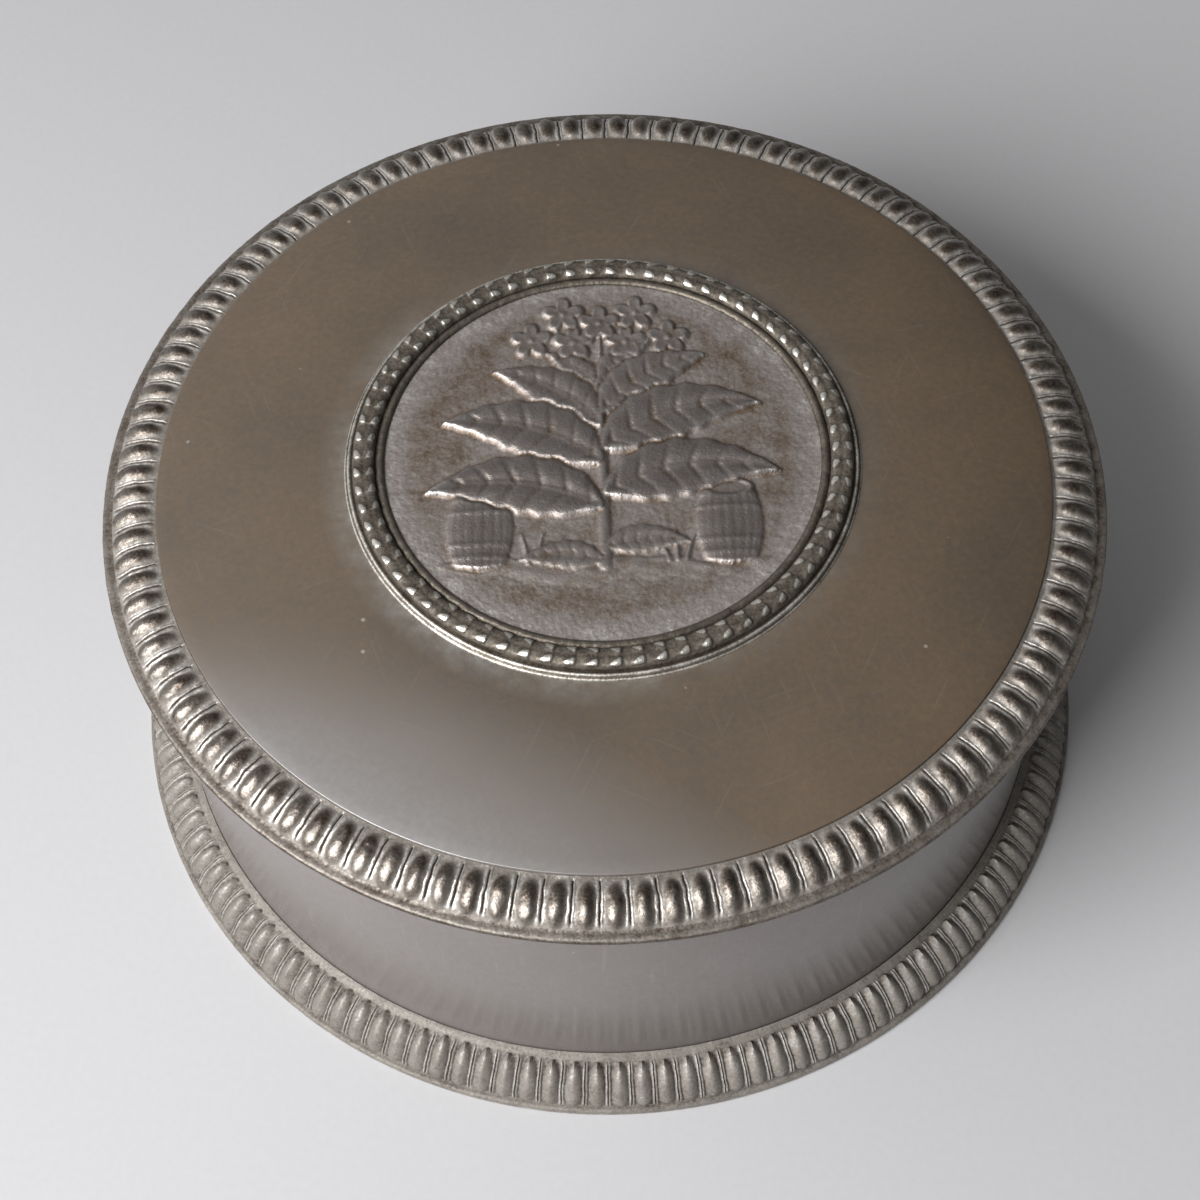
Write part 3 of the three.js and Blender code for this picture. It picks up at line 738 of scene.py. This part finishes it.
RUBBED_SHEEN_FROM = 38 * MM  # where that patch starts along that direction, and is full
RUBBED_SHEEN_FULL = 60 * MM
HALO_FULL = 35.8 * MM  # residue round the medallion, from its edge to where it ends
HALO_END = 39.5 * MM
border_low, border_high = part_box("medallion_border")
seat_radius = border_high.x + SEAT_MARGIN
plate_radius = plate_high.x
dome_rise = plate_high.z - plate_low.z - PLATE_SHEET
dome = []
for step in range(DOME_STEPS + 1):
    share = step / DOME_STEPS
    radius = plate_radius + (seat_radius - plate_radius) * share
    dome.append((radius, dome_rise * share * (DOME_SWELL - (DOME_SWELL - 1) * share)))
plate_top = [(radius, plate_low.z + PLATE_SHEET + rise) for radius, rise in dome]
plate_under = [(radius, plate_low.z + rise) for radius, rise in reversed(dome)]
edge = rounded(plate_top[0], plate_under[-1], plate_top[1], PLATE_EDGE_ROUND, 4)
plate_profile = [(0, plate_under[0][1])] + plate_under + edge + plate_top[1:] + [(0, plate_high.z)]
lid_plate = turned("lid_plate_sheet", plate_profile, closed=False)
lid_finish, tree, shader, place, patina = sheet_pewter(
    "lid_pewter", LID_BROWN, LID_DEEP, LID_DRIFT, LID_GRAIN, LID_SCRATCHES
)
shader.inputs["Metallic"].default_value = 0
shader.inputs["IOR"].default_value = LID_SHEEN
axes = node(tree, "SeparateXYZ", {0: place}).outputs
cloud = noise(tree, place, LID_CLOUDS, 4, 0.6)
towards = node(tree, "VectorMath", {0: place, 1: TO_RUBBED_SHEEN}, operation="DOT_PRODUCT").outputs["Value"]
in_front = spread(tree, axes["Y"], -22 * MM, -42 * MM)
# Painted sheen: a neutral grey patch at the front-left, partly rubbing and partly the lamp's sheen painted
# into the colour.
rubbed = calc(tree, "MULTIPLY", spread(tree, towards, RUBBED_SHEEN_FROM, RUBBED_SHEEN_FULL), in_front)
rubbed = calc(tree, "MULTIPLY", rubbed, spread(tree, cloud, 0.25, 0.6, 0.75, 1))
middle = (0, 0, plate_high.z)
from_axis = node(tree, "VectorMath", {0: place, 1: middle}, operation="DISTANCE").outputs["Value"]
halo = spread(tree, from_axis, HALO_END, HALO_FULL)
lower_left = spread(tree, calc(tree, "ADD", axes["X"], axes["Y"]), 20 * MM, -35 * MM, 0.25, 0.75)
halo = calc(tree, "MULTIPLY", calc(tree, "MULTIPLY", halo, lower_left), spread(tree, cloud, 0.3, 0.6))
dusty = noise(tree, place, LID_DUST, 4, 0.7)
halo = calc(tree, "MULTIPLY", halo, spread(tree, dusty, 0.35, 0.65, 0.35, 1.2))
colour = blend_colour(tree, rubbed, patina.outputs["Colour"], LID_RUBBED_SHEEN)
colour = blend_colour(tree, halo, colour, LID_RESIDUE)
tree.links.new(colour, shader.inputs["Base Color"])
rough = calc(tree, "ADD", patina.outputs["Roughness"], calc(tree, "MULTIPLY", halo, 0.25))
tree.links.new(rough, shader.inputs["Roughness"])
fit_piece(lid_plate, lid_finish, "lid", "lid", "lid_plate")

# Medallion plaque: a round cast plaque let into its border, with a tobacco plant in flower between
# two casks in low relief on a grainy ground.
RELIEF_MARGIN = 1.4 * MM
PLAQUE_SHEET = 0.8 * MM
RELIEF = 0.8 * MM
BORDER_LAP = 0.7 * MM
GRID = 300  # cells across the plaque
SHADE_PASSES = 12  # reach of the painted shade beside the forms
HAZE_PASSES = 150  # reach of the pale haze round the forms
PLAQUE_SMOOTH = 60
PLAQUE_SKIN = 0.16 * MM
PLAQUE_GRAIN = 0.7 * MM
PLAQUE_OXIDE = 0.2
PLAQUE_PITS = 0.12 * MM
PLAQUE_SPECKLE = 0.16
PLAQUE_RECESS = (0.16, 0.108, 0.066, 1)
PLAQUE_BODY = (0.36, 0.32, 0.3, 1)
PLAQUE_CREST = (0.72, 0.7, 0.67, 1)
plaque_low, plaque_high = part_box("medallion_plaque")
plaque_radius = plaque_high.x
reach = plaque_radius - BORDER_LAP - RELIEF_MARGIN


# The relief's forms have their places and sizes in shares of its reach from the middle.
def arc_path(root, heading, length, turn, steps=60):
    """Points along an arc that leaves a place at a heading and turns by an angle, in degrees."""
    angles = np.radians(heading + turn * (np.arange(steps) + 0.5) / steps)
    moves = np.stack((np.cos(angles), np.sin(angles)), 1) * length / steps
    return np.array(root) + np.concatenate((np.zeros((1, 2)), np.cumsum(moves, 0)))


def along_path(flat, path):
    """For each point: the share along a path, and the distance to its left."""
    gaps = np.linalg.norm(flat[:, None] - path[None], axis=2)
    nearest = np.argmin(gaps, 1)
    along = np.gradient(path, axis=0)
    along = along / np.linalg.norm(along, axis=1)[:, None]
    offset = flat - path[nearest]
    left = along[nearest, 0] * offset[:, 1] - along[nearest, 1] * offset[:, 0]
    return nearest / (len(path) - 1), np.sign(left) * gaps.min(1)


def leaf(flat, root, heading, length, turn, half_width, height):
    """A broad leaf that swells on both sides of a fine midrib, parted by slanting veins."""
    share, side = along_path(flat, arc_path(root, heading, length, turn))
    wavy = 1 + 0.05 * np.sin(share * 44)
    width = half_width * wavy * np.sin(np.pi * np.clip(share, 0.001, 0.999) ** 0.75) + 1e-9
    ratio = np.clip(np.abs(side) / width, 0, 1)
    swell = np.sin(np.pi * ratio) ** 0.8
    veins = bump_at(np.mod(share * 7 - ratio * 0.6, 1), 0.5, 0.1) * np.clip(1.1 - ratio, 0, 1)
    blade = 0.5 + 0.44 * swell - 0.28 * veins + 0.22 * bump_at(side, 0, 0.009)
    return np.where(ratio < 1, height * blade * np.clip((1 - ratio) / 0.12, 0, 1) ** 0.5, 0)


def strip(flat, root, heading, length, turn, half_width, height):
    """A rounded stem or blade of grass that narrows towards its tip."""
    share, side = along_path(flat, arc_path(root, heading, length, turn))
    ratio = np.abs(side) / (half_width * (1 - 0.7 * share))
    return height * np.sqrt(np.clip(1 - ratio**2, 0, 1))


def flower(flat, centre, height):
    """An open flower with five petals round a small eye."""
    offset = flat - np.array(centre)
    radius = np.hypot(offset[:, 0], offset[:, 1])
    petal = np.abs(np.cos(2.5 * (np.arctan2(offset[:, 1], offset[:, 0]) - np.pi / 2)))
    ratio = radius / (0.05 + 0.065 * petal**0.7)
    cup = (0.5 + 0.45 * ratio**2) * np.clip((1 - ratio) / 0.2, 0, 1) ** 0.5
    eye = 0.85 * np.sqrt(np.clip(1 - (radius / 0.026) ** 2, 0, 1))
    return height * np.maximum(np.where(ratio < 1, cup, 0), eye)


def cask(flat, foot, height):
    """A standing cask with staves, four hoops and a sunk head."""
    across = flat[:, 0] - foot[0]
    up = (flat[:, 1] - foot[1]) / 0.4
    half = 0.16 * (0.78 + 0.22 * np.sin(np.pi * np.clip(up, 0, 1)))
    ratio = np.abs(across) / half
    body = 0.25 + 0.6 * np.sqrt(np.clip(1 - ratio**2, 0, 1))
    staves = 0.07 * bump_at(np.mod(np.arcsin(np.clip(across / half, -1, 1)) * 3.2, 1), 0.5, 0.13)
    hoops = sum(bump_at(up, place, 0.035) for place in (0.08, 0.26, 0.72, 0.9))
    sag = 0.07 * np.clip(1 - ratio**2, 0, 1)
    inside = (ratio < 1) & (up > -sag) & (up < 1)
    shape = np.where(inside, body - staves + 0.16 * hoops, 0)
    head = np.hypot(across / 0.125, (up - 1) / 0.13)
    lid = np.where(head < 1, 0.5 + 0.35 * bump_at(head, 0.9, 0.12), 0)
    return height * np.where(head < 1, lid, shape)


def bank(flat, height):
    """A strip of broken ground below the plant."""
    line = -0.6 + 0.02 * np.sin(flat[:, 0] * 9) + 0.012 * np.sin(flat[:, 0] * 23)
    below = line - flat[:, 1]
    width = 0.15 * np.sqrt(np.clip(1 - (flat[:, 0] / 0.8) ** 2, 0, 1)) + 1e-9
    clods = 0.2 * np.sin(flat[:, 0] * 38 + flat[:, 1] * 30) * np.sin(flat[:, 0] * 17 - flat[:, 1] * 52)
    body = (0.5 + clods) * np.clip(1 - below / width, 0, 1) ** 0.7
    return np.where((below > 0) & (below < width), height * np.clip(below / 0.02, 0, 1) * body, 0)


def plant_relief(flat):
    """Height of the relief over the plaque's ground, each form laid over the ones before it."""
    forms = [bank(flat, 0.7 * RELIEF)]
    for x, lean in ((-0.36, 8), (-0.32, -6), (-0.28, -20), (0.3, 16), (0.34, 2), (0.38, -12)):
        forms.append(strip(flat, (x, -0.62), 90 + lean, 0.17, lean, 0.016, 0.5 * RELIEF))
    forms.append(strip(flat, (0, -0.64), 90, 1.4, 0, 0.038, 0.6 * RELIEF))
    for heading in (58, 122):
        forms.append(strip(flat, (0, 0.42), heading, 0.4, 0, 0.02, 0.5 * RELIEF))
    for side in (1, -1):
        forms.append(cask(flat, (0.59 * side, -0.62), RELIEF))
    for base, heading, length, turn, half, height in (
        (-0.54, 22, 0.42, 40, 0.085, 0.65),
        (0.42, 66, 0.4, 40, 0.085, 0.7),
        (0.24, 58, 0.66, 50, 0.135, 0.85),
        (0.02, 46, 0.86, 56, 0.175, 0.95),
        (-0.24, 34, 0.9, 54, 0.175, 1),
    ):
        for side, drop in ((-1, 0.08), (1, 0)):
            facing = heading if side > 0 else 180 - heading
            forms.append(leaf(flat, (0, base - drop), facing, length, -turn * side, half, height * RELIEF))
    for across, up in ((0.34, 0.7), (0.13, 0.68), (0.18, 0.86)):
        for side in (1, -1):
            forms.append(flower(flat, (across * side, up), 0.85 * RELIEF))
    forms.append(flower(flat, (0, 0.8), 0.85 * RELIEF))
    raised = 0.08 * RELIEF * ease(-0.22 + 0.03 * np.sin(flat[:, 0] * 5) - flat[:, 1], 0, 0.02)
    for form in forms:
        raised = np.where(form > 0.02 * RELIEF, np.maximum(form, raised * 0.3), raised)
    return raised


def blurred(grid, passes):
    """A grid of values softened by averaging neighbours."""
    for _ in range(passes):
        for axis in (0, 1):
            grid = (np.roll(grid, 1, axis) + 2 * grid + np.roll(grid, -1, axis)) / 4
    return grid


bpy.ops.object.select_all(action="DESELECT")
bpy.ops.mesh.primitive_grid_add(x_subdivisions=GRID, y_subdivisions=GRID, size=2)
plaque = bpy.context.object
plaque.name = "medallion_plaque_cast"
square = read_points(plaque)[:, :2]
disc = square * np.sqrt(1 - square[:, ::-1] ** 2 / 2) * plaque_radius
relief = plant_relief(disc / reach)
relief_grid = relief.reshape(GRID + 1, GRID + 1)
relief = blurred(relief_grid, 1).ravel()
# Painted shade: the ground beside tall forms is darkened, as if shaded by them, and the forms' upper edges
# are lightened.
shade = ((blurred(relief_grid, SHADE_PASSES) - relief_grid) / RELIEF).ravel()
ground = plaque_low.z + PLAQUE_SHEET
write_points(plaque, np.column_stack((disc, ground + relief)))
raised = relief_grid > 0.12 * RELIEF
near_form = blurred(raised.astype(float), HAZE_PASSES).ravel()
near_border = ease(np.hypot(disc[:, 0], disc[:, 1]) / (plaque_radius - BORDER_LAP), 0.82, 0.98)
ground_tone = 0.24 + 0.4 * np.maximum(near_form, near_border)
form_tone = 0.3 + 0.25 * relief / RELIEF
write_wear_and_shade(plaque, np.where(raised.ravel(), form_tone, ground_tone) - shade, relief / RELIEF)
bpy.ops.object.mode_set(mode="EDIT")
bpy.ops.mesh.select_all(action="SELECT")
bpy.ops.mesh.region_to_loop()
bpy.ops.mesh.extrude_region_move(TRANSFORM_OT_translate={"value": (0, 0, -PLAQUE_SHEET)})
bpy.ops.mesh.edge_face_add()
close_mesh(plaque, PLAQUE_SMOOTH)
plaque_height = read_points(plaque)[:, 2] - ground
plaque_face = plaque_height > -0.1 * MM
cast_skin(plaque, PLAQUE_SKIN, PLAQUE_GRAIN, plaque_face, plaque_height > 0.15 * RELIEF)
plaque_colours = (PLAQUE_RECESS, PLAQUE_BODY, PLAQUE_CREST)
plaque_finish = cast_pewter("plaque_pewter", *plaque_colours, PLAQUE_OXIDE, PLAQUE_PITS, PLAQUE_SPECKLE)
fit_piece(plaque, plaque_finish, "lid", "medallion", "medallion_plaque")

# Medallion border: a cast pewter ring soldered on the lid plate round the plaque. Two rows of leaves
# run round its bead, rubbed bright at their tips, between a lined edge and a plain inner band.
BORDER_LEAVES = 70
BORDER_EDGE = 0.9 * MM
BORDER_FILLET = 1.2 * MM
GARLAND_WIDTH = 3.1 * MM
GARLAND_RISE = 0.92 * MM
BORDER_BAND = 1.3 * MM
BAND_THICKNESS = 0.3 * MM
UNDER_GAP = 0.1 * MM
LEAF_RELIEF = 0.24 * MM
PLAQUE_PLAY = 0.15 * MM  # between the plaque's edge and the border's socket
BORDER_SKIN = 0.2 * MM
BORDER_GRAIN = 1 * MM
BORDER_OXIDE = 0.4
BORDER_PITS = 0.07 * MM
LEAF_STATIONS = tuple(np.linspace(0, 1, 21))  # points along a repeat
GARLAND_PLACES = np.linspace(0, 1, 24)[1:-1]  # points over the bead
BORDER_RECESS = (0.06, 0.048, 0.036, 1)
BORDER_BODY = (0.2, 0.175, 0.145, 1)
BORDER_CREST = (0.8, 0.77, 0.71, 1)


def garland_pattern(share, place):
    """Leaves in pairs that lean together along the bead, each highest just behind its tip."""
    row = np.abs(2 * place - 1)
    rise = np.zeros(len(share))
    for offset in (0, 1):
        along = (share + offset - 0.1) / 1.05
        leaf_row = 0.66 - 0.34 * along
        swell = ease(along, 0.1, 0.75) * ease(1 - along, 0, 0.12)
        rise = np.maximum(rise, bump_at(row, leaf_row, 0.12 + 0.17 * swell) * swell)
    crease = 0.3 * bump_at(row, 0, 0.1)
    tone = 0.3 + 0.95 * ease(rise, 0.5, 0.8) - 0.3 * crease
    return LEAF_RELIEF * (rise - crease), tone


border_radius = border_high.x
border_foot = border_low.z
edge_top = border_foot + BORDER_EDGE
band_under = ground + UNDER_GAP
band_top = band_under + BAND_THICKNESS
garland_outer = border_radius - BORDER_FILLET
garland_inner = garland_outer - GARLAND_WIDTH
opening = garland_inner - BORDER_BAND
border_socket = plaque_radius + PLAQUE_PLAY
garland_half = GARLAND_WIDTH / 2
garland_base = band_top - 0.2 * MM
bead_angles = GARLAND_PLACES * math.pi
bead_across = np.cos(bead_angles)
bead_up = np.sin(bead_angles)
bead_radius = garland_inner + garland_half * (1 + bead_across)
bead_height = garland_base + GARLAND_RISE * bead_up
arched = np.stack((bead_radius, bead_height), 1)
arch_normals = np.stack((bead_across * GARLAND_RISE, bead_up * garland_half), 1)
arch_normals = arch_normals / np.linalg.norm(arch_normals, axis=1)[:, None]
border_before = [
    (border_socket, border_foot, 0.2),
    (border_radius, border_foot, 0.7),
    (border_radius - 0.03 * MM, border_foot + 0.14 * MM, 0.95),
    (border_radius - 0.14 * MM, border_foot + 0.28 * MM, 0.9),
    (border_radius - 0.28 * MM, border_foot + 0.3 * MM, 0.25),
    (border_radius - 0.38 * MM, border_foot + 0.45 * MM, 0.6),
    (border_radius - 0.5 * MM, edge_top - 0.16 * MM, 0.9),
    (border_radius - 0.68 * MM, edge_top - 0.1 * MM, 0.85),
    (border_radius - 0.88 * MM, edge_top - 0.18 * MM, 0.5),
    (border_radius - 1.05 * MM, edge_top - 0.3 * MM, 0.25),
    (garland_outer, garland_base - 0.05 * MM, 0.2),
]
border_after = [
    # Painted shade: the crease at the garland's inner foot is painted nearly black, where the bead shades
    # the band.
    (garland_inner, garland_base - 0.02 * MM, 0),
    (garland_inner - 0.12 * MM, band_top - 0.16 * MM, 0.05),
    (garland_inner - 0.25 * MM, band_top - 0.02 * MM, 0.25),
    (garland_inner - 0.45 * MM, band_top + 0.12 * MM, 0.32),
    (garland_inner - 0.7 * MM, band_top + 0.16 * MM, 0.42),
    (garland_inner - 0.95 * MM, band_top + 0.1 * MM, 0.42),
    (opening + 0.12 * MM, band_top - 0.06 * MM, 0.35),
    (opening, band_top - 0.2 * MM, 0.2),
    (opening, band_under, 0.05),
    (border_socket, band_under, 0.05),
]
border_rows = ring_rows(border_before, arched, arch_normals, GARLAND_PLACES, border_after)
border = patterned_ring(
    "medallion_border_cast", border_rows, BORDER_LEAVES, LEAF_STATIONS, garland_pattern
)
border_face = read_points(border)[:, 2] > garland_base + 0.1 * MM
cast_skin(border, BORDER_SKIN, BORDER_GRAIN, border_face)
border_colours = (BORDER_RECESS, BORDER_BODY, BORDER_CREST)
border_finish = cast_pewter("border_pewter", *border_colours, BORDER_OXIDE, BORDER_PITS)
fit_piece(border, border_finish, "lid", "medallion", "medallion_border")

# Table top and light: a plain pale table, one broad soft lamp from the left and front, and an even
# grey surround that is lighter on the lamp's side.
TABLE_SIZE = 6
TABLE_GAP = 0.05 * MM  # below the foot
TABLE_ROUGHNESS = 0.85
PAPER_FIBRES = 900  # noise cells in a metre
PAPER_DARK = (0.53, 0.527, 0.54, 1)
PAPER_PALE = (0.57, 0.567, 0.58, 1)
bpy.ops.object.select_all(action="DESELECT")
bpy.ops.mesh.primitive_plane_add(size=TABLE_SIZE, location=(0, 0, -TABLE_GAP))
table = bpy.context.object
table.name = "table_top"
table_paper, tree, shader, place = new_material("table_paper")
shader.inputs["Metallic"].default_value = 0
shader.inputs["Roughness"].default_value = TABLE_ROUGHNESS
fibre = noise(tree, place, PAPER_FIBRES, 3)
paper = blend_colour(tree, fibre, PAPER_DARK, PAPER_PALE)
tree.links.new(paper, shader.inputs["Base Color"])
table.data.materials.append(table_paper)

LAMP_AIM = Vector((0, 0, 0.03))
LAMP_PLACE = Vector((-0.442, -0.376, 0.52))
LAMP_SIZE = 0.45
LAMP_POWER = 8.3
lamp_data = bpy.data.lights.new("soft_lamp", "AREA")
lamp_data.size = LAMP_SIZE
lamp_data.energy = LAMP_POWER
lamp = bpy.data.objects.new("soft_lamp", lamp_data)
lamp.location = LAMP_PLACE
lamp.rotation_mode = "QUATERNION"
lamp.rotation_quaternion = (LAMP_AIM - LAMP_PLACE).to_track_quat("-Z", "Y")
bpy.context.scene.collection.objects.link(lamp)

SKY_SIDES = 0.27  # brightness of the surround low down and overhead
SKY_TOP = 0.29
SKY_FROM_LAMP = 0.24  # loss from the middle to the side away from the lamp
SKY_BEHIND = 0.05  # loss from the middle to the back
SKY_LOW_RIGHT = 0.12  # further loss low on the right
SKY_LEAST = 0.03
world = bpy.data.worlds.new("studio")
world.use_nodes = True
bpy.context.scene.world = world
sky = world.node_tree
direction = node(sky, "SeparateXYZ", {0: node(sky, "TexCoord").outputs["Generated"]}).outputs
ceiling = {"Value": direction["Z"], "From Min": 0.68, "From Max": 0.9}
ceiling.update({"To Min": SKY_SIDES, "To Max": SKY_TOP})
level = node(sky, "MapRange", ceiling, interpolation_type="SMOOTHSTEP").outputs[0]
level = calc(sky, "SUBTRACT", level, calc(sky, "MULTIPLY", direction["X"], SKY_FROM_LAMP))
level = calc(sky, "SUBTRACT", level, calc(sky, "MULTIPLY", direction["Y"], SKY_BEHIND))
low_right = calc(sky, "SUBTRACT", direction["X"], direction["Z"])
level = calc(sky, "SUBTRACT", level, spread(sky, low_right, -0.5, 0.4, 0, SKY_LOW_RIGHT))
level = calc(sky, "MAXIMUM", level, SKY_LEAST)
grey = node(sky, "CombineColor", {0: level, 1: level, 2: level}).outputs[0]
sky.links.new(grey, sky.nodes["Background"].inputs["Color"])

# Camera at the photograph's angle: above and in front of the lid, close to it and slightly rolled.
# Its place, aim and lens were fitted to the circles of lid, plate, medallion and foot.
CAMERA_PLACE = Vector((0, -0.18098, 0.31119))
CAMERA_AIM = Vector((-0.00089, -0.01942, 0.0534))
CAMERA_ROLL = math.radians(-1.851)
CAMERA_LENS = 67.21
CAMERA_SENSOR = 36
CAMERA_NEAR = 0.01
camera_data = bpy.data.cameras.new("photo_view")
camera_data.lens = CAMERA_LENS
camera_data.sensor_width = CAMERA_SENSOR
camera = bpy.data.objects.new("photo_view", camera_data)
camera.location = CAMERA_PLACE
camera.rotation_mode = "QUATERNION"
level_view = (CAMERA_AIM - CAMERA_PLACE).to_track_quat("-Z", "Y")
camera.rotation_quaternion = level_view @ Quaternion((0, 0, 1), CAMERA_ROLL)
camera_data.clip_start = CAMERA_NEAR
bpy.context.scene.collection.objects.link(camera)
bpy.context.scene.camera = camera
bpy.context.scene.view_settings.view_transform = "Standard"
